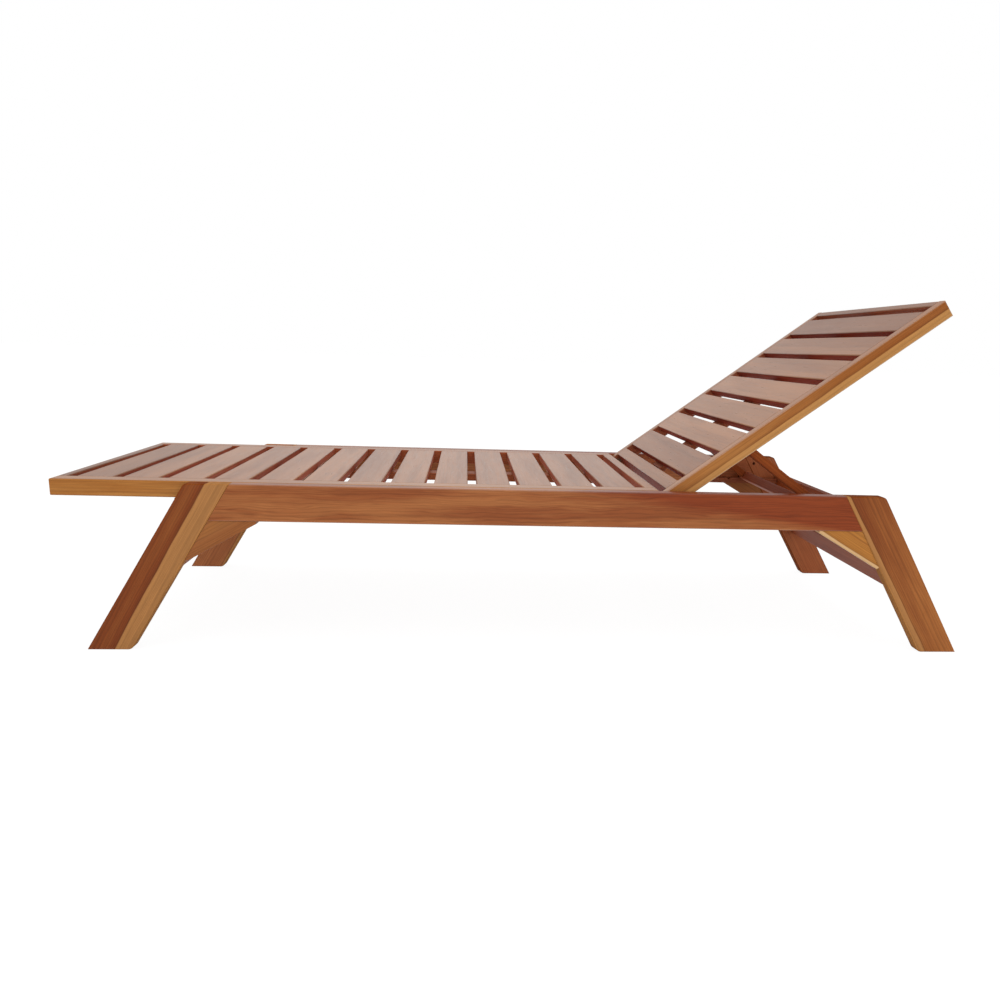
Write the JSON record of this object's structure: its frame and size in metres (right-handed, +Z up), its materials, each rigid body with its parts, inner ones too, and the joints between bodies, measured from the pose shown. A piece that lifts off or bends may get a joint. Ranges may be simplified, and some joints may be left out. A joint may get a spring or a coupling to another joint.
{
  "type": "sun lounger",
  "caption": "Slatted teak sun lounger on splayed legs, with a reclining backrest that is held up by a folding prop.",
  "frame": {"origin": "on the floor, under the middle of the lounger's length and width as it stands with the backrest raised", "axes": "+X along the lounger towards the head end, +Y across it towards the far side in the picture, +Z up"},
  "size_m": [1.9929, 0.66, 0.7846],
  "materials": {
    "teak_slats": "oiled, satin",
    "teak_frame": "oiled, satin",
    "teak_rails": "oiled, satin",
    "teak_legs": "oiled, satin",
    "steel": "plain"
  },
  "bodies": {
    "base": {"side_rail_left": "teak_rails", "side_rail_right": "teak_rails", "front_leg_left": "teak_legs", "front_leg_right": "teak_legs", "rear_leg_left": "teak_legs", "rear_leg_right": "teak_legs", "front_brace_left": "teak_frame", "front_brace_right": "teak_frame", "rear_brace_left": "teak_frame", "rear_brace_right": "teak_frame", "front_cross_rail": "teak_rails", "front_stretcher": "teak_rails", "rear_rest_rail": "teak_rails", "rear_stretcher": "teak_rails", "seat_stile_left": "teak_frame", "seat_stile_right": "teak_frame", "foot_rail": "teak_slats", "seat_slat_01": "teak_slats", "seat_slat_02": "teak_slats", "seat_slat_03": "teak_slats", "seat_slat_04": "teak_slats", "seat_slat_05": "teak_slats", "seat_slat_06": "teak_slats", "seat_slat_07": "teak_slats", "seat_slat_08": "teak_slats", "seat_slat_09": "teak_slats", "seat_slat_10": "teak_slats", "seat_slat_11": "teak_slats", "seat_slat_12": "teak_slats", "seat_slat_13": "teak_slats", "seat_end_rail": "teak_slats", "seat_batten": "teak_rails", "rack_left": "teak_rails", "rack_right": "teak_rails", "front_peg_left": "teak_rails", "front_peg_right": "teak_rails", "rear_peg_left": "teak_rails", "rear_peg_right": "teak_rails", "hinge_bolt_left": "steel", "hinge_bolt_right": "steel"},
    "backrest": {"back_stile_left": "teak_frame", "back_stile_right": "teak_frame", "back_bottom_rail": "teak_slats", "back_slat_1": "teak_slats", "back_slat_2": "teak_slats", "back_slat_3": "teak_slats", "back_slat_4": "teak_slats", "back_slat_5": "teak_slats", "back_slat_6": "teak_slats", "back_slat_7": "teak_slats", "head_rail": "teak_slats", "back_batten": "teak_rails", "prop_bolt_left": "steel", "prop_bolt_right": "steel"},
    "prop": {"prop_arm_left": "teak_rails", "prop_arm_right": "teak_rails", "prop_bar": "teak_rails", "prop_pin_left": "teak_rails", "prop_pin_right": "teak_rails"}
  },
  "joints": [
    {"name": "backrest_recline", "type": "hinge", "parent": "base", "child": "backrest", "pos_m": [0.3018, 0, 0.343], "axis": [0, -1, 0], "range_deg": [-36.6, 28]},
    {"name": "prop_swing", "type": "hinge", "parent": "backrest", "child": "prop", "pos_m": [0.4746, 0, 0.45701], "axis": [0, 1, 0], "range_deg": [-66.98, 51.24]}
  ],
  "couplings": [
    {"joint": "prop_swing", "follows": "backrest_recline", "ratio": 1.83}
  ]
}
